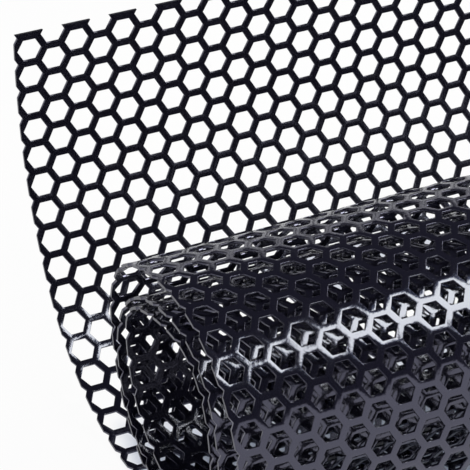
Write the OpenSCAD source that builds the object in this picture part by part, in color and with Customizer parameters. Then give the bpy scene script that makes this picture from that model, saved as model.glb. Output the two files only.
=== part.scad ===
// Hexagon grille mesh: one thin plastic sheet, rolled up from one end, lying on a level floor.
// The outer end stands free as a flap behind the roll.
// With the sizes below, the sheet is 1200 mm long, measured along its curve.
// X runs along the roll, Y runs from the roll's front to the flap, Z is up from the floor.

/* [Sheet] */
// width of the sheet, along the roll
sheet_w = 400; // [200:10:600]
// thickness of the sheet
sheet_t = 1.2; // [0.8:0.1:2.5]

/* [Mesh] */
// hexagon hole, across its flats
hole_af = 9.3; // [6:0.1:12]
// plastic bar between two holes
bar_w = 3; // [1.5:0.1:5]
// left side edge to the centres of the first column of holes
side_margin = 6.7; // [5:0.1:9]
// free edge of the flap to the centres of the first whole holes
free_margin = 8; // [6:0.1:10]

/* [Flap] */
// bend radius where the flap leaves the floor
flap_foot_r = 87; // [60:1:120]
// bend radius of the middle of the flap
flap_mid_r = 164; // [120:1:220]
// bend radius next to the free edge
flap_top_r = 246; // [180:1:320]
// flat stretch of the sheet on the floor, from the flap to the middle of the roll
lap_l = 54.5; // [40:0.5:80]

/* [Roll] */
// middle line of the roll to its front
roll_front = 58; // [52:0.5:66]
// middle line of the roll to its back
roll_back = 61; // [54:0.5:70]
// floor to the top of the roll
roll_h = 112.5; // [102:0.5:122]
// inner end of the sheet, measured along its curve from under the roll's middle
inner_l = 29.7; // [20:0.1:60]
// flat stretch of the sheet on the floor, from the middle of the roll towards its front
sit_l = 26.5; // [22:0.5:30]

/* [Gaps between turns] */
// outer turn to second turn, at the front
front_gap_2 = 17.5; // [12:0.5:20]
// second turn to third turn, at the front
front_gap_3 = 6; // [3:0.5:8]
// third turn to the inner end, at the front
front_gap_4 = 2; // [1:0.5:4]
// outer turn to second turn, at the top
top_gap_2 = 10.5; // [8:0.5:14]
// second turn to third turn, at the top
top_gap_3 = 5.5; // [3:0.5:8]
// outer turn to second turn, at the back
back_gap_2 = 4.5; // [3:0.5:8]
// second turn to third turn, at the back
back_gap_3 = 8; // [5:0.5:11]
// first layer to second layer, on the floor
under_gap_2 = 1.5; // [1:0.5:4]
// second layer to third layer, under the roll
under_gap_3 = 2; // [1:0.5:4]
// third layer to the inner end, under the roll
under_gap_4 = 12; // [8:0.5:16]

/* [Hidden] */
pitch = hole_af + bar_w;
col_step = pitch * sqrt(3) / 2;
hole_r = hole_af / sqrt(3);
cut_l = 4 * sheet_t;
// length of the short flats that stand for the bends of the plain inner turns
flat_l = 3;
sheet_color = [0.02, 0.02, 0.025];
// how far each of the three flap bends turns, in degrees
flap_top_a = 10;
flap_mid_a = 25.5;
flap_foot_a = 56.5;
// how far the first bend of each quarter turn goes, in degrees; a second bend takes the rest
sit_front_a = 53;
floor_front_a = 26;
front_top_a = 24.5;
top_back_a = 22.5;
back_floor_a = 25;
right_a = 90;
// the turns stand out furthest at these parts of the roll's height
front_part = 0.454;
back_part = [0.63, 0.49, 0.62];
// least plastic between a whole hole and a side edge
edge_clear = 0.5;
half_t = sheet_t / 2;
front_z = front_part * roll_h;
back_z = back_part * roll_h;

// reach of the middle of the sheet from the roll's middle line, turn by turn
front_1 = roll_front - half_t;
front_2 = front_1 - front_gap_2 - sheet_t;
front_3 = front_2 - front_gap_3 - sheet_t;
front = [front_1, front_2, front_3, front_3 - front_gap_4 - sheet_t];
back_1 = roll_back - half_t;
back_2 = back_1 - back_gap_2 - sheet_t;
back = [back_1, back_2, back_2 - back_gap_3 - sheet_t];
// height of the middle of the sheet over and under the roll's middle, turn by turn
top_1 = roll_h - half_t;
top_2 = top_1 - top_gap_2 - sheet_t;
top_3 = top_2 - top_gap_3 - sheet_t;
top = [top_1, top_2, top_3, top_3 - top_gap_3 - sheet_t];
under_2 = half_t + under_gap_2 + sheet_t;
under_3 = under_2 + under_gap_3 + sheet_t;
under = [half_t, under_2, under_3, under_3 + under_gap_4 + sheet_t];

// A quarter turn that goes u along its first heading and v along its last,
// as two bends, each [radius, degrees]; the first bend goes a degrees.
function quarter(u, v, a) =
    let (s = sin(a), c = cos(a), d = s + c - 1)
    [[(u * c - v * (1 - s)) / d, a], [(v * s - u * (1 - c)) / d, right_a - a]];
// From the floor to the roll's front. The outer turn starts where its flat stretch ends.
function floor_quarter(k) =
    k == 0
        ? quarter(front[0] - sit_l, front_z - under[0], sit_front_a)
        : quarter(front[k], front_z - under[k], floor_front_a);
// the half of a turn that goes up the roll's front, and the half that comes down its back
function front_half(k) = concat(floor_quarter(k), quarter(top[k] - front_z, front[k], front_top_a));
function back_half(k) = concat(
    quarter(back[k], top[k] - back_z[k], top_back_a),
    quarter(back_z[k] - under[k + 1], back[k], back_floor_a));

// The sheet as a chain of bends from the free edge to the inner end.
// A radius of 0 marks a straight stretch, and its second value is a length.
flap_bends = [[flap_top_r, flap_top_a], [flap_mid_r, flap_mid_a], [flap_foot_r, flap_foot_a]];
turn_1 = concat(front_half(0), back_half(0));
turn_2 = concat(front_half(1), back_half(1));
turn_3 = concat(front_half(2), back_half(2));
turn_4 = front_half(3);
bends = concat(flap_bends, [[0, lap_l], [0, sit_l]], turn_1, turn_2, turn_3, turn_4);
lap_i = len(flap_bends);
sit_i = lap_i + 1;
turn_1_i = sit_i + 1;
turn_2_i = turn_1_i + len(turn_1);
turn_3_i = turn_2_i + len(turn_2);
turn_4_i = turn_3_i + len(turn_3);

function bend_l(b) = b[0] == 0 ? b[1] : b[0] * b[1] * PI / 180;
// Headings: 0 is to the front, 90 is up, 180 is to the back. Each pair is [Y, Z].
function along(h) = [-cos(h), sin(h)];
function inward(h) = [sin(h), cos(h)];
function bend_end(b, p, h) = b[0] == 0 ? p + b[1] * along(h) : p + b[0] * (inward(h) - inward(h + b[1]));
function turned(b, h) = b[0] == 0 ? h : h + b[1];

// start of every bend as [place, heading, length so far]
function walk(i, p, h, s) =
    i == len(bends)
        ? [[p, h, s]]
        : concat([[p, h, s]],
            walk(i + 1, bend_end(bends[i], p, h), turned(bends[i], h), s + bend_l(bends[i])));
flap_turn = flap_top_a + flap_mid_a + flap_foot_a;
raw = walk(0, [0, 0], -flap_turn, 0);

// The roll's front and the flap's back are equally far from Y = 0, and the floor is Z = 0.
raw_mid = raw[sit_i][0];
flap_out = bend_end([flap_top_r, flap_turn - right_a], raw[0][0], -flap_turn)[0] - raw_mid[0];
mid_y = (front[0] - flap_out) / 2;
shift = [mid_y, half_t] - raw_mid;

function place(i) = raw[i][0] + shift;
function heading(i) = raw[i][1];
function start_s(i) = raw[i][2];
function bend_at(s) = max([for (i = [0 : len(bends) - 1]) if (start_s(i) <= max(s, 0)) i]);
// place and heading of the middle of the sheet at a distance s from the free edge
function pose(s) =
    let (i = bend_at(s), b = bends[i], d = s - start_s(i), a = b[0] == 0 ? 0 : d / b[0] * 180 / PI)
    b[0] == 0
        ? [place(i) + d * along(heading(i)), heading(i)]
        : [place(i) + b[0] * (inward(heading(i)) - inward(heading(i) + a)), heading(i) + a];

// Columns of holes from one side edge to the other. A column is left out where a side edge
// would leave less than edge_clear beside its holes or cut only their tips off.
function clear_of_edge(d) = d >= hole_r + edge_clear || d <= hole_r / 2;
col_lo = -ceil((side_margin + hole_r) / col_step) + 1;
col_hi = floor((sheet_w + hole_r - side_margin) / col_step);
cols = [for (col = [col_lo : col_hi])
    let (x = side_margin + col * col_step)
    if (clear_of_edge(x) && clear_of_edge(sheet_w - x)) col];

// One bend of sheet at its full width, before its holes are cut.
module bend_band(i) {
    b = bends[i];
    if (b[0] == 0) {
        translate([place(i)[0] - b[1], place(i)[1] - half_t, -sheet_w / 2])
            cube([b[1], sheet_t, sheet_w]);
    } else {
        c = place(i) + b[0] * inward(heading(i));
        translate([c[0], c[1], -sheet_w / 2])
            rotate([0, 0, -right_a - heading(i) - b[1]])
                rotate_extrude(angle = b[1], $fn = 96)
                    translate([b[0] - half_t, 0])
                        square([sheet_t, sheet_w]);
    }
}

// Hexagon cutters through the sheet between two distances from the free edge.
// Every other column is set half a pitch back, and two flats of each hexagon run along the roll.
module hole_cutters(s_lo, s_hi) {
    for (col = cols) {
        first = free_margin - (col % 2 == 0 ? 0 : pitch / 2);
        row_lo = max(0, ceil((s_lo - hole_af / 2 - first) / pitch));
        row_hi = floor((s_hi + hole_af / 2 - first) / pitch);
        for (row = [row_lo : row_hi]) {
            at = pose(first + row * pitch);
            translate([at[0][0], at[0][1], -sheet_w / 2 + side_margin + col * col_step])
                rotate([0, 0, right_a - at[1]])
                    rotate([0, right_a, 0])
                        cylinder(h = cut_l, r = hole_r, center = true, $fn = 6);
        }
    }
}

// A run of bends of the sheet with its holes.
module mesh_bends(first, last) {
    color(sheet_color)
        rotate([90, 0, 90])
            difference() {
                union() {
                    for (i = [first : last]) bend_band(i);
                }
                hole_cutters(start_s(first), start_s(last + 1));
            }
}

module mesh_bend(i) {
    mesh_bends(i, i);
}

// The sheet between two distances from the free edge, seen along the roll, in short flats.
module sheet_profile(s_lo, s_hi) {
    n = ceil((s_hi - s_lo) / flat_l);
    poses = [for (k = [0 : n]) pose(s_lo + (s_hi - s_lo) * k / n)];
    outer = [for (q = poses) q[0] - half_t * inward(q[1])];
    inner = [for (k = [n : -1 : 0]) poses[k][0] + half_t * inward(poses[k][1])];
    polygon(concat(outer, inner));
}

// A stretch of the sheet without its holes.
module plain_sheet(s_lo, s_hi) {
    color(sheet_color)
        rotate([90, 0, 90])
            translate([0, 0, -sheet_w / 2])
                linear_extrude(height = sheet_w)
                    sheet_profile(s_lo, s_hi);
}

module flap_top() {
    mesh_bend(0);
}

module flap_middle() {
    mesh_bend(1);
}

module flap_foot() {
    mesh_bend(2);
}

module floor_lap() {
    mesh_bend(lap_i);
}

// The flat stretch that the roll sits on, with the bend at the roll's lower front.
module front_foot() {
    mesh_bends(sit_i, turn_1_i);
}

module front_low() {
    mesh_bend(turn_1_i + 1);
}

module front_high() {
    mesh_bend(turn_1_i + 2);
}

module top_front() {
    mesh_bend(turn_1_i + 3);
}

module top_back() {
    mesh_bend(turn_1_i + 4);
}

module back_high() {
    mesh_bend(turn_1_i + 5);
}

// The outer turn's lower back, next to the second turn.
module back_low() {
    plain_sheet(start_s(turn_1_i + 6), start_s(turn_2_i));
}

module second_turn() {
    plain_sheet(start_s(turn_2_i), start_s(turn_3_i));
}

module third_turn() {
    plain_sheet(start_s(turn_3_i), start_s(turn_4_i));
}

module inner_end() {
    plain_sheet(start_s(turn_4_i), start_s(turn_4_i) + inner_l);
}

flap_top();
flap_middle();
flap_foot();
floor_lap();
front_foot();
front_low();
front_high();
top_front();
top_back();
back_high();
back_low();
second_turn();
third_turn();
inner_end();
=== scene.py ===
"""Dresses the rolled-up hexagon mesh: the sheet with all its holes, its black plastic and a plain studio."""

import math

import bmesh
import bpy
from mathutils import Matrix, Vector


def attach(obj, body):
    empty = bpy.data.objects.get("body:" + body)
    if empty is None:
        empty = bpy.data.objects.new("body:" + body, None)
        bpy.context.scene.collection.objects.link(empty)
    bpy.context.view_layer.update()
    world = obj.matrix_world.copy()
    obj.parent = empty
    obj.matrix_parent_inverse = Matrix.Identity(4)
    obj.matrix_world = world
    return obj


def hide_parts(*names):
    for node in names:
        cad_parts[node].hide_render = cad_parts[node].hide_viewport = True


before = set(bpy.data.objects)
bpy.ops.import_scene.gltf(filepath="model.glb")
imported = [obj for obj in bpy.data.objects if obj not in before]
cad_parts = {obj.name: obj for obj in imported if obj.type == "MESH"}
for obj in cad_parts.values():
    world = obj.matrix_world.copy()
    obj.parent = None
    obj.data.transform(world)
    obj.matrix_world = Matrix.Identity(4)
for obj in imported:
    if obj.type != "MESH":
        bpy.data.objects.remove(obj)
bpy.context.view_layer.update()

bl_info = {
    "name": "Rolled Hexagon Grille Mesh",
    "version": (1, 0, 0),
    "blender": (4, 5, 0),
    "location": "3D View > Sidebar > Grille Mesh",
    "description": "Builds a rolled-up sheet of black plastic hexagon mesh and a plain studio round it",
    "category": "Object",
}

MM = 0.001
OUTER_NODES = (
    "flap_top", "flap_middle", "flap_foot", "floor_lap", "front_foot", "front_low", "front_high",
    "top_front", "top_back", "back_high",
)
INNER_NODES = ("back_low", "second_turn", "third_turn", "inner_end")
# Two faces that meet at more than this keep a crisp edge, such as two walls of a hole.
CRISP_ANGLE = math.radians(50)
# The three bends of the flap, in degrees, from its free edge to the floor.
FLAP_BENDS = (10, 25.5, 56.5)
# The first turn comes after the flap and the two flat stretches on the floor.
SIT_INDEX = len(FLAP_BENDS) + 1
TURN_INDEX = SIT_INDEX + 1
WHOLE_TURNS = 3
BENDS_A_QUARTER = 2
BENDS_A_TURN = 4 * BENDS_A_QUARTER
# How far the first bend of each quarter turn goes, in degrees: floor to front, to top, to back, to floor.
TURN_BENDS = (26, 24.5, 22.5, 25)
# The same from the end of the outer turn's flat stretch on the floor to its front.
SIT_BEND = 53
# The turns stand out furthest at these parts of the roll's height.
FRONT_PART = 0.454
BACK_PARTS = (0.63, 0.49, 0.62)
PATH_STEP = 1 * MM
# Columns of hexagons stand this part of the pitch apart.
COLUMN_PART = math.sqrt(3) / 2
# Cells laid past each cut line, for the trim to cut off.
SPARE_CELLS = 1
WELD = 0.02 * MM
CUT_TOLERANCE = 0.0001 * MM
# How much large faces count over small ones at a soft edge: 50 is even, 100 is the most.
LARGE_FACE_WEIGHT = 100

# Noises of the plastic: scale, detail, strength of the bump and its depth.
GRAIN = (2600.0, 2.0, 0.04, 0.2 * MM)
RIPPLES = (700.0, 2.0, 0.07, 0.5 * MM)
WAVES = (28.0, 3.0, 0.05, 2 * MM)
SAW_MARKS = (900.0, 4.0, 0.2, 0.2 * MM)
PLASTIC_IOR = 1.92
CUT_IOR = 1.7
# Mirrored light turns slightly blue.
GLOSS_TINT = (0.74, 0.74, 1, 1)
# The plastic gets rougher by the spread over this range of the waves.
GLOSS_RANGE = (0.3, 0.7)
GLOSS_SPREAD = 0.07
# Dust lies on the highest grains.
DUST_RANGE = (0.68, 0.8)
DUST_SHARE = (0.0, 0.12)
DUST_COLOUR = (0.05, 0.05, 0.055, 1)
# Saw marks change the tone of a cut edge by these factors.
CUT_TONES = (0.6, 1.4)
CUT_ROUGHNESS = (0.2, 0.4)

CAMERA_PLACE = Vector((-0.51715, -0.74645, 0.61338))
CAMERA_TARGET = Vector((-0.14201, 0.01666, 0.08713))
SENSOR_WIDTH = 36
CAMERA_REACH = 20
# The softbox hangs level, high up on the right, with a dim bluish rim round it. The fill is further right.
SOFTBOX_PLACE = Vector((0.465, -0.41, 0.9))
SOFTBOX_ACROSS = 0.6
SOFTBOX_COLOUR = (0.98, 1, 0.78)
RIM_PLACE = Vector((0.515, -0.41, 0.91))
RIM_ACROSS = 0.75
RIM_COLOUR = (0.6, 0.75, 1)
FILL_PLACE = Vector((1.3, 0.3, 1.0))
FILL_ACROSS = 1
FILL_COLOUR = (1, 1, 1)
DOWN = Vector((0, 0, -1))
WHITE = (1, 1, 1, 1)
# The white wall ends softly between these heights on a view direction of length 1.
WALL_TOP = (0.25, 0.33)
ROOM_COLOUR = (0.045, 0.045, 0.065, 1)
FLOOR_HALF_SIDE = 6
FLOOR_ROUGHNESS = 0.8
# The floor's shadow, partly the real one that the dimmer glow lets show and partly a painted bluish shade,
# starts this far inside the edges of the roll, and fades faster past the ends of the roll.
SHADOW_INSET = Vector((12, 30, 0)) * MM
SHADOW_FALL = Vector((4, 1, 0))


def length(label, text, millimetres):
    """A length the user can change, with its default in millimetres."""
    return bpy.props.FloatProperty(
        name=label, description=text, default=millimetres * MM, unit="LENGTH", precision=5,
    )


def colour(label, text, default):
    """A colour the user can change."""
    return bpy.props.FloatVectorProperty(
        name=label, description=text, default=default, subtype="COLOR", size=3, min=0, max=1,
    )


def share(label, text, default):
    """A share from 0 to 1 the user can change."""
    return bpy.props.FloatProperty(
        name=label, description=text, default=default, subtype="FACTOR", min=0, max=1,
    )


def radiance(label, text, default):
    """A lamp's radiance the user can change."""
    return bpy.props.FloatProperty(name=label, description=text, default=default, min=0)


class MeshSheetSizes(bpy.types.PropertyGroup):
    """Sizes of the flat sheet and of its holes."""

    sheet_width: length("Width", "Width of the sheet, along the roll", 400)
    thickness: length("Thickness", "Thickness of the sheet", 1.2)
    hole: length("Hole", "Hexagon hole across its flats", 9.3)
    bar: length("Bar", "Plastic bar between two holes", 3)
    side_margin: length("Side margin", "Left side edge to the centres of the first column of holes", 6.7)
    free_margin: length("Free margin", "Free edge of the flap to the centres of the first whole holes", 8)
    chamfer: length("Edge softness", "Width of the soft edge round each hole", 0.18)


class MeshRollSizes(bpy.types.PropertyGroup):
    """Sizes of the flap and of the turns of the roll."""

    flap_top_r: length("Flap top radius", "Bend radius next to the free edge", 246)
    flap_mid_r: length("Flap middle radius", "Bend radius of the middle of the flap", 164)
    flap_foot_r: length("Flap foot radius", "Bend radius where the flap leaves the floor", 87)
    lap: length("Floor lap", "Flat stretch on the floor from the flap to the middle of the roll", 54.5)
    front: length("Front", "Middle line of the roll to its front", 58)
    back: length("Back", "Middle line of the roll to its back", 61)
    height: length("Height", "Floor to the top of the roll", 112.5)
    inner: length("Inner end", "Length of the inner end from under the middle of the roll", 29.7)
    sit: length("Sitting flat", "Flat stretch on the floor from the middle of the roll to its front", 26.5)
    front_gap_2: length("Front gap 2", "Outer turn to second turn at the front", 17.5)
    front_gap_3: length("Front gap 3", "Second turn to third turn at the front", 6)
    front_gap_4: length("Front gap 4", "Third turn to inner end at the front", 2)
    top_gap_2: length("Top gap 2", "Outer turn to second turn at the top", 10.5)
    top_gap_3: length("Top gap 3", "Second turn to third turn at the top", 5.5)
    back_gap_2: length("Back gap 2", "Outer turn to second turn at the back", 4.5)
    back_gap_3: length("Back gap 3", "Second turn to third turn at the back", 8)
    under_gap_2: length("Under gap 2", "First layer to second layer on the floor", 1.5)
    under_gap_3: length("Under gap 3", "Second layer to third layer under the roll", 2)
    under_gap_4: length("Under gap 4", "Third layer to inner end under the roll", 12)


class MeshLookSettings(bpy.types.PropertyGroup):
    """Colours and finish of the plastic."""

    plastic_colour: colour("Plastic", "Colour of the moulded plastic", (0.008, 0.0074, 0.014))
    cut_colour: colour("Cut edge", "Colour of the cut side edges", (0.014, 0.014, 0.018))
    gloss_roughness: share("Roughness", "Roughness of the plastic where it is smoothest", 0.07)


class MeshStudioSettings(bpy.types.PropertyGroup):
    """Floor, lamps and camera."""

    floor_colour: colour("Floor", "Colour of the floor", (0.95, 0.95, 0.96))
    softbox_radiance: radiance("Softbox", "Radiance of the softbox above the roll", 8.5)
    rim_radiance: radiance("Softbox rim", "Radiance of the dim rim round the softbox", 0.8)
    fill_radiance: radiance("Fill", "Radiance of the wide lamp on the right", 7)
    floor_glow: share("Floor glow", "Share of plain white in the open floor, to camera and mirrors", 0.96)
    shadow_glow: share("Shadow glow", "The same share under the roll, where the floor keeps its shadow", 0.2)
    shadow_reach: length("Shadow reach", "How far from its start the shadow has faded to plain white", 60)
    # Painted shadow: under the roll the floor's white glow takes this bluish tone.
    painted_shadow_colour: colour("Shadow", "Tint of the floor under the roll", (0.7, 0.8, 1))
    lens: bpy.props.FloatProperty(
        name="Lens", description="Focal length of the camera", default=188.07, min=1, unit="CAMERA",
    )


def quarter(u, v, first):
    """A quarter turn, u along its first heading and v along its last, as two (radius, degrees) bends."""
    sine = math.sin(math.radians(first))
    cosine = math.cos(math.radians(first))
    d = sine + cosine - 1
    return [
        ((u * cosine - v * (1 - sine)) / d, first),
        ((v * sine - u * (1 - cosine)) / d, 90 - first),
    ]


def inward(heading):
    """Direction to the inside of the bend, in the plane across the roll."""
    return Vector((0, math.sin(math.radians(heading)), math.cos(math.radians(heading))))


def along(heading):
    """Direction in which the sheet runs, in the plane across the roll."""
    return Vector((0, -math.cos(math.radians(heading)), math.sin(math.radians(heading))))


def stacked(first, steps, sign):
    """A first reach and the reaches of the turns inside it, each one step further in."""
    reaches = [first]
    for step in steps:
        reaches.append(reaches[-1] + sign * step)
    return reaches


def sheet_bends(sheet, roll):
    """The sheet from its free edge to its inner end as (radius, degrees) bends; radius 0 is a straight."""
    t = sheet.thickness
    front_gaps = (roll.front_gap_2, roll.front_gap_3, roll.front_gap_4)
    back_gaps = (roll.back_gap_2, roll.back_gap_3)
    top_gaps = (roll.top_gap_2, roll.top_gap_3, roll.top_gap_3)
    under_gaps = (roll.under_gap_2, roll.under_gap_3, roll.under_gap_4)
    front = stacked(roll.front - t / 2, [gap + t for gap in front_gaps], -1)
    back = stacked(roll.back - t / 2, [gap + t for gap in back_gaps], -1)
    top = stacked(roll.height - t / 2, [gap + t for gap in top_gaps], -1)
    under = stacked(t / 2, [gap + t for gap in under_gaps], 1)
    front_z = FRONT_PART * roll.height
    bends = list(zip((roll.flap_top_r, roll.flap_mid_r, roll.flap_foot_r), FLAP_BENDS))
    bends += [(0, roll.lap), (0, roll.sit)]
    for k in range(WHOLE_TURNS + 1):
        if k == 0:
            bends += quarter(front[0] - roll.sit, front_z - under[0], SIT_BEND)
        else:
            bends += quarter(front[k], front_z - under[k], TURN_BENDS[0])
        bends += quarter(top[k] - front_z, front[k], TURN_BENDS[1])
        if k < WHOLE_TURNS:
            back_z = BACK_PARTS[k] * roll.height
            bends += quarter(back[k], top[k] - back_z, TURN_BENDS[2])
            bends += quarter(back_z - under[k + 1], back[k], TURN_BENDS[3])
    return bends


def bend_length(bend):
    """Length of the sheet in one bend."""
    return bend[1] if bend[0] == 0 else bend[0] * math.radians(bend[1])


class SheetPath:
    """The middle of the sheet, seen along the roll, with distances from the free edge."""

    def __init__(self, sheet, roll):
        self.bends = sheet_bends(sheet, roll)
        self.starts = []
        free_heading = -sum(FLAP_BENDS)
        place, heading, run = Vector(), free_heading, 0
        for bend in self.bends:
            self.starts.append((place, heading, run))
            place, heading = self.step(bend, place, heading, 1)
            run += bend_length(bend)
        # The flap stands out furthest where it is upright.
        upright_bend = (roll.flap_top_r, -90 - free_heading)
        upright_place = self.step(upright_bend, Vector(), free_heading, 1)[0]
        roll_middle = self.starts[SIT_INDEX][0]
        flap_out = upright_place.y - roll_middle.y
        self.middle = (roll.front - sheet.thickness / 2 - flap_out) / 2
        self.shift = Vector((0, self.middle, sheet.thickness / 2)) - roll_middle
        self.end = self.start_of(TURN_INDEX + WHOLE_TURNS * BENDS_A_TURN) + roll.inner

    @staticmethod
    def step(bend, place, heading, part):
        """Place and heading after a part of a bend."""
        if bend[0] == 0:
            return place + bend[1] * part * along(heading), heading
        turned = heading + bend[1] * part
        return place + bend[0] * (inward(heading) - inward(turned)), turned

    def start_of(self, index):
        """Distance from the free edge to the start of a bend."""
        return self.starts[index][2]

    def pose(self, s):
        """Place of the middle of the sheet at a distance from the free edge."""
        index = max(k for k, start in enumerate(self.starts) if start[2] <= max(s, 0))
        place, heading, run = self.starts[index]
        bend = self.bends[index]
        return self.step(bend, place, heading, (s - run) / bend_length(bend))[0] + self.shift

    def curve(self):
        """The path as an open curve with a point about every millimetre."""
        count = round(self.end / PATH_STEP)
        data = bpy.data.curves.new("sheet_path", "CURVE")
        data.dimensions = "3D"
        spline = data.splines.new("POLY")
        spline.points.add(count)
        for k, point in enumerate(spline.points):
            point.co = (*self.pose(self.end * k / count), 1)
        path = bpy.data.objects.new("sheet_path", data)
        bpy.context.scene.collection.objects.link(path)
        return path


def path_of(scene):
    """The path of the sheet with the scene's sizes."""
    return SheetPath(scene.mesh_sheet, scene.mesh_roll)


def seam_distance(scene):
    """Distance from the free edge to the outer turn's last quarter, where the inner stretch begins."""
    return path_of(scene).start_of(TURN_INDEX + BENDS_A_TURN - BENDS_A_QUARTER)


class TreeMaker:
    """Short calls that add nodes to a node tree and link them."""

    def __init__(self, tree):
        self.tree = tree

    def node(self, kind, inputs=None, **settings):
        """A node with its settings, and its inputs by name or number set to values or linked to outputs."""
        made = self.tree.nodes.new(kind)
        for name, value in settings.items():
            setattr(made, name, value)
        for key, value in (inputs or {}).items():
            if isinstance(value, bpy.types.NodeSocket):
                self.tree.links.new(value, made.inputs[key])
            else:
                made.inputs[key].default_value = value
        return made

    def math(self, operation, a, b=0.0):
        """The result of a math node on two numbers or outputs."""
        return self.node("ShaderNodeMath", {0: a, 1: b}, operation=operation).outputs[0]

    def vector(self, x=0.0, y=0.0, z=0.0):
        """A vector of three numbers or outputs."""
        return self.node("ShaderNodeCombineXYZ", {0: x, 1: y, 2: z}).outputs[0]

    def vector_math(self, operation, a, b=None):
        """The result of a vector math node on one or two vectors or outputs."""
        inputs = {0: a} if b is None else {0: a, 1: b}
        return self.node("ShaderNodeVectorMath", inputs, operation=operation).outputs[0]

    def remap(self, value, source, target=(0.0, 1.0), kind="LINEAR"):
        """A value taken from one range to another and kept inside it."""
        return self.node("ShaderNodeMapRange", {
            "Value": value, "From Min": source[0], "From Max": source[1],
            "To Min": target[0], "To Max": target[1],
        }, interpolation_type=kind).outputs[0]

    def noise(self, place, scale, detail):
        """The value of a noise at a place."""
        made = self.node("ShaderNodeTexNoise", {"Vector": place, "Scale": scale, "Detail": detail})
        return made.outputs["Fac"]

    def bump(self, height, strength, depth, normal=None):
        """A normal with small heights in it, on top of another normal where there is one."""
        inputs = {"Height": height, "Strength": strength, "Distance": depth}
        if normal is not None:
            inputs["Normal"] = normal
        return self.node("ShaderNodeBump", inputs).outputs[0]

    def mix(self, part, first, second):
        """A colour between two colours."""
        tone = self.node("ShaderNodeMix", {0: part}, data_type="RGBA")
        tone.inputs["A"].default_value = first
        tone.inputs["B"].default_value = second
        return tone.outputs["Result"]


def new_geometry_tree(name, sockets):
    """An empty Geometry Nodes tree with a geometry input and output and named inputs."""
    tree = bpy.data.node_groups.new(name, "GeometryNodeTree")
    tree.interface.new_socket("Geometry", in_out="INPUT", socket_type="NodeSocketGeometry")
    for label, kind in sockets:
        tree.interface.new_socket(label, in_out="INPUT", socket_type=kind)
    tree.interface.new_socket("Geometry", in_out="OUTPUT", socket_type="NodeSocketGeometry")
    source = tree.nodes.new("NodeGroupInput")
    return tree, TreeMaker(tree), source.outputs


def finish_geometry_tree(tree, geometry):
    """Links the last geometry to the tree's output."""
    out = tree.nodes.new("NodeGroupOutput")
    tree.links.new(geometry, out.inputs[0])


def ring_step(make, mesh, chosen, drop, scale):
    """Pulls the chosen face down by a distance and scales it, and gives back the mesh and the moved face."""
    pulled = make.node(
        "GeometryNodeExtrudeMesh",
        {"Mesh": mesh, "Selection": chosen, "Offset": make.vector(0.0, 0.0, -1.0), "Offset Scale": drop},
    )
    sized = make.node(
        "GeometryNodeScaleElements",
        {"Geometry": pulled.outputs["Mesh"], "Selection": pulled.outputs["Top"], "Scale": scale},
    )
    return sized.outputs[0], pulled.outputs["Top"]


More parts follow.
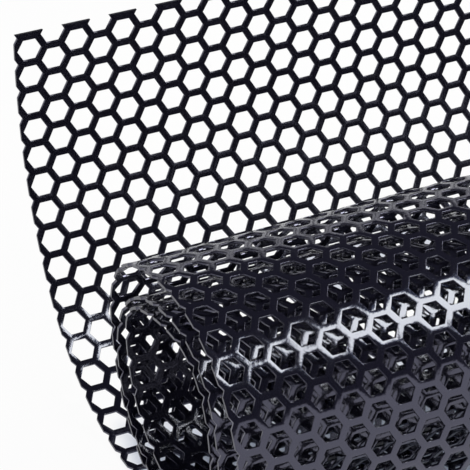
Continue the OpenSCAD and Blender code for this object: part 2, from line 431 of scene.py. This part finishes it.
def hexagon_mesh_tree():
    """Geometry Nodes tree that lays hexagon cells side by side as a flat sheet with open holes."""
    tree, make, given = new_geometry_tree("Hexagon mesh", (
        ("Columns", "NodeSocketInt"), ("Rows", "NodeSocketInt"), ("First column", "NodeSocketInt"),
        ("First row", "NodeSocketInt"), ("Left", "NodeSocketFloat"), ("Free margin", "NodeSocketFloat"),
        ("Hole", "NodeSocketFloat"), ("Bar", "NodeSocketFloat"), ("Thickness", "NodeSocketFloat"),
        ("Chamfer", "NodeSocketFloat"),
    ))
    pitch = make.math("ADD", given["Hole"], given["Bar"])
    mouth = make.math("ADD", given["Hole"], make.math("MULTIPLY", given["Chamfer"], 2.0))
    wall = make.math("SUBTRACT", given["Thickness"], make.math("MULTIPLY", given["Chamfer"], 2.0))
    radius = make.math("DIVIDE", pitch, math.sqrt(3))
    plate = make.node("GeometryNodeMeshCircle", {"Vertices": 6, "Radius": radius}, fill_type="NGON")
    mesh, face = plate.outputs[0], True
    narrowing = make.math("DIVIDE", mouth, pitch)
    softening = make.math("DIVIDE", given["Hole"], mouth)
    for drop, scale in (
        (0.0, narrowing),
        (given["Chamfer"], softening),
        (wall, 1.0),
        (given["Chamfer"], make.math("DIVIDE", 1.0, softening)),
        (0.0, make.math("DIVIDE", 1.0, narrowing)),
    ):
        mesh, face = ring_step(make, mesh, face, drop, scale)
    ring = make.node("GeometryNodeDeleteGeometry", {"Geometry": mesh, "Selection": face}, domain="FACE",
                     mode="ONLY_FACE")
    under = make.node("GeometryNodeTransform", {
        "Geometry": plate.outputs[0],
        "Translation": make.vector(0.0, 0.0, make.math("MULTIPLY", given["Thickness"], -1.0)),
    })
    under = make.node("GeometryNodeFlipFaces", {"Mesh": under.outputs[0]})
    slab = make.node("GeometryNodeJoinGeometry")
    tree.links.new(plate.outputs[0], slab.inputs[0])
    tree.links.new(under.outputs[0], slab.inputs[0])

    index = make.node("GeometryNodeInputIndex").outputs[0]
    column = make.math("ADD", make.math("MODULO", index, given["Columns"]), given["First column"])
    row = make.math("FLOOR", make.math("DIVIDE", index, given["Columns"]))
    row = make.math("ADD", row, given["First row"])
    odd = make.math("FLOORED_MODULO", column, 2.0)
    x = make.math("MULTIPLY", column, make.math("MULTIPLY", pitch, COLUMN_PART))
    x = make.math("ADD", given["Left"], x)
    s = make.math("MULTIPLY", make.math("SUBTRACT", row, make.math("MULTIPLY", odd, 0.5)), pitch)
    s = make.math("ADD", s, given["Free margin"])
    spots = make.node("GeometryNodePoints", {
        "Count": make.math("MULTIPLY", given["Columns"], given["Rows"]),
        "Position": make.vector(x, s, make.math("MULTIPLY", given["Thickness"], 0.5)),
    })
    # The cells that the free edge trims above its first whole holes have no hole.
    closed = make.math("MULTIPLY", make.math("LESS_THAN", row, -0.5), make.math("LESS_THAN", odd, 0.5))
    open_cells = make.node("GeometryNodeInstanceOnPoints", {
        "Points": spots.outputs[0], "Instance": ring.outputs[0],
        "Selection": make.math("SUBTRACT", 1.0, closed),
    })
    closed_cells = make.node("GeometryNodeInstanceOnPoints", {
        "Points": spots.outputs[0], "Instance": slab.outputs[0], "Selection": closed,
    })
    cells = make.node("GeometryNodeJoinGeometry")
    tree.links.new(open_cells.outputs[0], cells.inputs[0])
    tree.links.new(closed_cells.outputs[0], cells.inputs[0])
    real = make.node("GeometryNodeRealizeInstances", {"Geometry": cells.outputs[0]})
    welded = make.node("GeometryNodeMergeByDistance", {"Geometry": real.outputs[0], "Distance": WELD})
    finish_geometry_tree(tree, welded.outputs[0])
    return tree


def bend_tree():
    """Geometry Nodes tree that bends a flat sheet along a path: X stays, Y is the distance, Z the offset."""
    tree, make, given = new_geometry_tree("Bend along path", (
        ("Path", "NodeSocketObject"), ("Plastic", "NodeSocketMaterial"), ("Cut edge", "NodeSocketMaterial"),
    ))
    path = make.node("GeometryNodeObjectInfo", {"Object": given["Path"]})
    place = make.node("GeometryNodeInputPosition").outputs[0]
    flat = make.node("ShaderNodeSeparateXYZ", {0: place}).outputs
    sample = make.node("GeometryNodeSampleCurve", {"Curves": path.outputs["Geometry"], "Length": flat[1]},
                       mode="LENGTH")
    side = make.vector(1.0, 0.0, 0.0)
    outward = make.vector_math("CROSS_PRODUCT", side, sample.outputs["Tangent"])
    offset = make.node("ShaderNodeVectorMath", {0: outward, "Scale": flat[2]}, operation="SCALE").outputs[0]
    moved = make.vector_math("ADD", sample.outputs["Position"], offset)
    moved = make.vector_math("ADD", moved, make.vector(flat[0]))
    bent = make.node("GeometryNodeSetPosition", {"Geometry": given["Geometry"], "Position": moved})
    real = make.node("GeometryNodeRealizeInstances", {"Geometry": bent.outputs[0]})
    coated = make.node("GeometryNodeSetMaterial", {"Geometry": real.outputs[0], "Material": given["Plastic"]})
    cut = make.node("GeometryNodeInputNamedAttribute", {"Name": "cut_edge"}, data_type="BOOLEAN")
    edged = make.node("GeometryNodeSetMaterial", {
        "Geometry": coated.outputs[0], "Selection": cut.outputs["Attribute"], "Material": given["Cut edge"],
    })
    finish_geometry_tree(tree, edged.outputs[0])
    return tree


def add_tree(holder, tree, values):
    """Puts a tree on an object as a modifier and sets its named inputs."""
    modifier = holder.modifiers.new(tree.name, "NODES")
    modifier.node_group = tree
    for item in tree.interface.items_tree:
        if item.in_out == "INPUT" and item.name in values:
            modifier[item.identifier] = values[item.name]


def plain_mesh(holder, name):
    """The evaluated mesh of an object as a plain mesh."""
    bpy.context.view_layer.update()
    graph = bpy.context.evaluated_depsgraph_get()
    made = holder.evaluated_get(graph)
    mesh = bpy.data.meshes.new_from_object(made, preserve_all_data_layers=True, depsgraph=graph)
    mesh.name = name
    return mesh


def trim(mesh, left, right, s_lo, s_hi):
    """Cuts a flat sheet to its outline and closes the cut bars, which are marked as cut edges."""
    work = bmesh.new()
    work.from_mesh(mesh)
    mark = work.faces.layers.bool.new("cut_edge")
    for spot, normal in (
        ((left, 0, 0), (-1, 0, 0)),
        ((right, 0, 0), (1, 0, 0)),
        ((0, s_lo, 0), (0, -1, 0)),
        ((0, s_hi, 0), (0, 1, 0)),
    ):
        everything = work.verts[:] + work.edges[:] + work.faces[:]
        cut = bmesh.ops.bisect_plane(
            work, geom=everything, dist=CUT_TOLERANCE, plane_co=spot, plane_no=normal, clear_outer=True,
        )
        rims = [e for e in cut["geom_cut"] if isinstance(e, bmesh.types.BMEdge) and e.is_boundary]
        filled = bmesh.ops.holes_fill(work, edges=rims, sides=0)
        for face in filled["faces"]:
            face[mark] = True
    bmesh.ops.recalc_face_normals(work, faces=work.faces[:])
    for face in work.faces:
        face.smooth = not face[mark]
    for edge in work.edges:
        if len(edge.link_faces) == 2:
            edge.smooth = edge.calc_face_angle() < CRISP_ANGLE
    work.to_mesh(mesh)
    work.free()


def plastic_base(name, ior):
    """A new plastic with a bluish gloss: the material, its tree maker and its shader."""
    material = bpy.data.materials.new(name)
    material.use_nodes = True
    shader = material.node_tree.nodes["Principled BSDF"]
    shader.inputs["IOR"].default_value = ior
    shader.inputs["Specular Tint"].default_value = GLOSS_TINT
    return material, TreeMaker(material.node_tree), shader


def black_plastic(look):
    """Glossy black moulded plastic with slow changes of gloss, faint ripples and a little dust."""
    material, make, shader = plastic_base("black_mesh_plastic", PLASTIC_IOR)
    link = material.node_tree.links.new
    place = make.node("ShaderNodeTexCoord").outputs["Object"]
    grain, ripples, waves = [make.noise(place, *kind[:2]) for kind in (GRAIN, RIPPLES, WAVES)]
    smoothest = look.gloss_roughness
    link(make.remap(waves, GLOSS_RANGE, (smoothest, smoothest + GLOSS_SPREAD)), shader.inputs["Roughness"])
    dust = make.remap(grain, DUST_RANGE, DUST_SHARE)
    link(make.mix(dust, (*look.plastic_colour, 1), DUST_COLOUR), shader.inputs["Base Color"])
    skin = None
    for height, kind in ((grain, GRAIN), (ripples, RIPPLES), (waves, WAVES)):
        skin = make.bump(height, *kind[2:], skin)
    link(skin, shader.inputs["Normal"])
    return material


def cut_plastic(look):
    """The slightly duller and paler plastic of a cut edge, with fine saw marks."""
    material, make, shader = plastic_base("cut_edge_plastic", CUT_IOR)
    link = material.node_tree.links.new
    place = make.node("ShaderNodeTexCoord").outputs["Object"]
    marks = make.noise(place, *SAW_MARKS[:2])
    dark, pale = [(*[c * factor for c in look.cut_colour], 1) for factor in CUT_TONES]
    link(make.mix(marks, dark, pale), shader.inputs["Base Color"])
    link(make.remap(marks, (0.0, 1.0), CUT_ROUGHNESS), shader.inputs["Roughness"])
    link(make.bump(marks, *SAW_MARKS[2:]), shader.inputs["Normal"])
    return material


def shared(name, maker, *needs):
    """A material or tree that is made once and then reused."""
    for kept in (bpy.data.materials, bpy.data.node_groups):
        if name in kept:
            return kept[name]
    return maker(*needs)


def sheet_piece(name, s_lo, s_hi, nodes):
    """One stretch of the sheet with its holes, bent along the path, in place of some of the solids."""
    scene = bpy.context.scene
    sheet, look = scene.mesh_sheet, scene.mesh_look
    plastic = shared("black_mesh_plastic", black_plastic, look)
    edge = shared("cut_edge_plastic", cut_plastic, look)
    pitch = sheet.hole + sheet.bar
    column_step = pitch * COLUMN_PART
    # The free edge is a cut through the row before the first whole holes.
    first_row = math.floor((s_lo - sheet.free_margin) / pitch) - SPARE_CELLS if s_lo > 0 else -1
    last_row = math.ceil((s_hi - sheet.free_margin) / pitch) + SPARE_CELLS
    first_column = math.floor(-sheet.side_margin / column_step) - SPARE_CELLS
    last_column = math.ceil((sheet.sheet_width - sheet.side_margin) / column_step) + SPARE_CELLS

    holder = bpy.data.objects.new(name + "_flat", bpy.data.meshes.new(name + "_flat"))
    scene.collection.objects.link(holder)
    add_tree(holder, shared("Hexagon mesh", hexagon_mesh_tree), {
        "Columns": last_column - first_column + 1, "Rows": last_row - first_row + 1,
        "First column": first_column, "First row": first_row,
        "Left": sheet.side_margin - sheet.sheet_width / 2, "Free margin": sheet.free_margin,
        "Hole": sheet.hole, "Bar": sheet.bar, "Thickness": sheet.thickness, "Chamfer": sheet.chamfer,
    })
    flat = plain_mesh(holder, name)
    bpy.data.objects.remove(holder)
    trim(flat, -sheet.sheet_width / 2, sheet.sheet_width / 2, s_lo, s_hi)

    path = path_of(scene).curve()
    holder = bpy.data.objects.new(name + "_bent", flat)
    scene.collection.objects.link(holder)
    add_tree(holder, shared("Bend along path", bend_tree), {
        "Path": path, "Plastic": plastic, "Cut edge": edge,
    })
    weighted = holder.modifiers.new("Soft edges", "WEIGHTED_NORMAL")
    weighted.keep_sharp = True
    weighted.weight = LARGE_FACE_WEIGHT
    mesh = plain_mesh(holder, name)
    bpy.data.objects.remove(holder)
    bpy.data.objects.remove(path)

    piece = bpy.data.objects.new(name, mesh)
    scene.collection.objects.link(piece)
    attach(piece, "root")
    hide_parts(*nodes)


class GRILLE_OT_outer_stretch(bpy.types.Operator):
    """Makes the flap and the outer turn of the roll"""

    bl_idname = "grille.outer_stretch"
    bl_label = "Flap and outer turn"

    def execute(self, context):
        sheet_piece("flap_and_outer_turn", 0, seam_distance(context.scene), OUTER_NODES)
        return {"FINISHED"}


class GRILLE_OT_inner_stretch(bpy.types.Operator):
    """Makes the inner turns of the roll up to the inner end"""

    bl_idname = "grille.inner_stretch"
    bl_label = "Inner turns"

    def execute(self, context):
        scene = context.scene
        sheet_piece("inner_turns", seam_distance(scene), path_of(scene).end, INNER_NODES)
        return {"FINISHED"}


def facing(place, target):
    """The pose of a lamp or camera that looks from a place to a target."""
    return Matrix.Translation(place) @ (target - place).to_track_quat("-Z", "Y").to_matrix().to_4x4()


def round_lamp(name, across, strength, light_colour, place, target):
    """A round lamp that faces a target, with its strength as radiance."""
    data = bpy.data.lights.new(name, "AREA")
    data.shape = "DISK"
    data.size = across
    area = math.pi / 4 * across ** 2
    data.energy = strength * math.pi * area
    data.color = light_colour
    made = bpy.data.objects.new(name, data)
    bpy.context.scene.collection.objects.link(made)
    made.matrix_world = facing(place, target)


def studio_world():
    """A dim room with a white wall all round, low down, that the plastic mirrors."""
    world = bpy.data.worlds.new("white_wall_room")
    bpy.context.scene.world = world
    world.use_nodes = True
    tree = world.node_tree
    make = TreeMaker(tree)
    direction = make.node("ShaderNodeTexCoord").outputs["Generated"]
    height = make.node("ShaderNodeSeparateXYZ", {0: direction}).outputs[2]
    above = make.remap(height, WALL_TOP, kind="SMOOTHSTEP")
    tree.links.new(make.mix(above, WHITE, ROOM_COLOUR), tree.nodes["Background"].inputs["Color"])


def floor_paint(scene):
    """White floor: partly plain white to the camera and to mirrors, partly lit, so that it keeps a shadow;
    under the roll the white is dimmer and painted a bluish shadow tone.
    """
    sheet, roll, studio = scene.mesh_sheet, scene.mesh_roll, scene.mesh_studio
    paint = bpy.data.materials.new("white_floor")
    paint.use_nodes = True
    tree = paint.node_tree
    make = TreeMaker(tree)
    shader = tree.nodes["Principled BSDF"]
    shader.inputs["Base Color"].default_value = (*studio.floor_colour, 1)
    shader.inputs["Roughness"].default_value = FLOOR_ROUGHNESS
    place = make.node("ShaderNodeTexCoord").outputs["Object"]
    under_roll = Vector((0, path_of(scene).middle + (roll.back - roll.front) / 2, 0))
    half_roll = Vector((sheet.sheet_width / 2, (roll.front + roll.back) / 2, 0))
    beside = make.vector_math("ABSOLUTE", make.vector_math("SUBTRACT", place, under_roll))
    beside = make.vector_math("SUBTRACT", beside, half_roll - SHADOW_INSET)
    beside = make.vector_math("MULTIPLY", beside, SHADOW_FALL)
    beside = make.vector_math("MAXIMUM", beside, Vector())
    away = make.node("ShaderNodeVectorMath", {0: beside}, operation="LENGTH").outputs["Value"]
    clear = make.remap(away, (0.0, studio.shadow_reach), kind="SMOOTHSTEP")
    glow = make.remap(clear, (0.0, 1.0), (studio.shadow_glow, studio.floor_glow))
    # Painted shadow: the glow turns from white to the bluish shadow colour under the roll.
    tone = make.mix(clear, (*studio.painted_shadow_colour, 1), WHITE)
    rays = make.node("ShaderNodeLightPath").outputs
    seen = make.math("MAXIMUM", rays["Is Camera Ray"], rays["Is Glossy Ray"])
    seen = make.math("MAXIMUM", seen, rays["Is Transmission Ray"])
    white = make.node("ShaderNodeEmission", {"Color": tone, "Strength": 1.0})
    blend = make.node("ShaderNodeMixShader", {0: make.math("MULTIPLY", seen, glow)})
    tree.links.new(shader.outputs[0], blend.inputs[1])
    tree.links.new(white.outputs[0], blend.inputs[2])
    tree.links.new(blend.outputs[0], tree.nodes["Material Output"].inputs["Surface"])
    return paint


def add_floor(scene):
    """The level floor that the roll lies on."""
    mesh = bpy.data.meshes.new("floor")
    work = bmesh.new()
    bmesh.ops.create_grid(work, x_segments=1, y_segments=1, size=FLOOR_HALF_SIDE)
    work.to_mesh(mesh)
    work.free()
    mesh.materials.append(floor_paint(scene))
    floor = bpy.data.objects.new("floor", mesh)
    scene.collection.objects.link(floor)


def add_lamps(studio):
    """The softbox with its rim and the fill."""
    round_lamp("softbox", SOFTBOX_ACROSS, studio.softbox_radiance, SOFTBOX_COLOUR, SOFTBOX_PLACE,
               SOFTBOX_PLACE + DOWN)
    round_lamp("softbox_rim", RIM_ACROSS, studio.rim_radiance, RIM_COLOUR, RIM_PLACE, RIM_PLACE + DOWN)
    round_lamp("fill", FILL_ACROSS, studio.fill_radiance, FILL_COLOUR, FILL_PLACE, Vector())


def add_camera(scene):
    """The camera at the photo's place."""
    camera = bpy.data.objects.new("camera", bpy.data.cameras.new("camera"))
    camera.data.lens = scene.mesh_studio.lens
    camera.data.sensor_width = SENSOR_WIDTH
    camera.data.clip_end = CAMERA_REACH
    scene.collection.objects.link(camera)
    camera.matrix_world = facing(CAMERA_PLACE, CAMERA_TARGET)
    scene.camera = camera


class GRILLE_OT_studio(bpy.types.Operator):
    """Makes the floor, the lamps and the camera"""

    bl_idname = "grille.studio"
    bl_label = "Studio"

    def execute(self, context):
        scene = context.scene
        scene.view_settings.view_transform = "Standard"
        studio_world()
        add_floor(scene)
        add_lamps(scene.mesh_studio)
        add_camera(scene)
        return {"FINISHED"}


class GRILLE_PT_panel(bpy.types.Panel):
    """Sizes, looks and build steps of the rolled mesh"""

    bl_label = "Rolled grille mesh"
    bl_idname = "GRILLE_PT_panel"
    bl_space_type = "VIEW_3D"
    bl_region_type = "UI"
    bl_category = "Grille Mesh"

    def draw(self, context):
        for group in (context.scene.mesh_sheet, context.scene.mesh_roll, context.scene.mesh_look,
                      context.scene.mesh_studio):
            box = self.layout.box()
            for name in group.__annotations__:
                box.prop(group, name)
        for step in STEPS:
            self.layout.operator(step.bl_idname)


GROUPS = {
    "mesh_sheet": MeshSheetSizes, "mesh_roll": MeshRollSizes, "mesh_look": MeshLookSettings,
    "mesh_studio": MeshStudioSettings,
}
STEPS = (GRILLE_OT_outer_stretch, GRILLE_OT_inner_stretch, GRILLE_OT_studio)


def register():
    """Adds the settings, the steps and the panel to Blender."""
    for name, group in GROUPS.items():
        bpy.utils.register_class(group)
        setattr(bpy.types.Scene, name, bpy.props.PointerProperty(type=group))
    for step in STEPS:
        bpy.utils.register_class(step)
    bpy.utils.register_class(GRILLE_PT_panel)


def unregister():
    """Takes the settings, the steps and the panel out of Blender."""
    bpy.utils.unregister_class(GRILLE_PT_panel)
    for step in reversed(STEPS):
        bpy.utils.unregister_class(step)
    for name, group in GROUPS.items():
        delattr(bpy.types.Scene, name)
        bpy.utils.unregister_class(group)


def main():
    """Builds every piece and the stage in order."""
    register()
    bpy.ops.grille.outer_stretch()
    bpy.ops.grille.inner_stretch()
    bpy.ops.grille.studio()


if __name__ == "__main__":
    main()
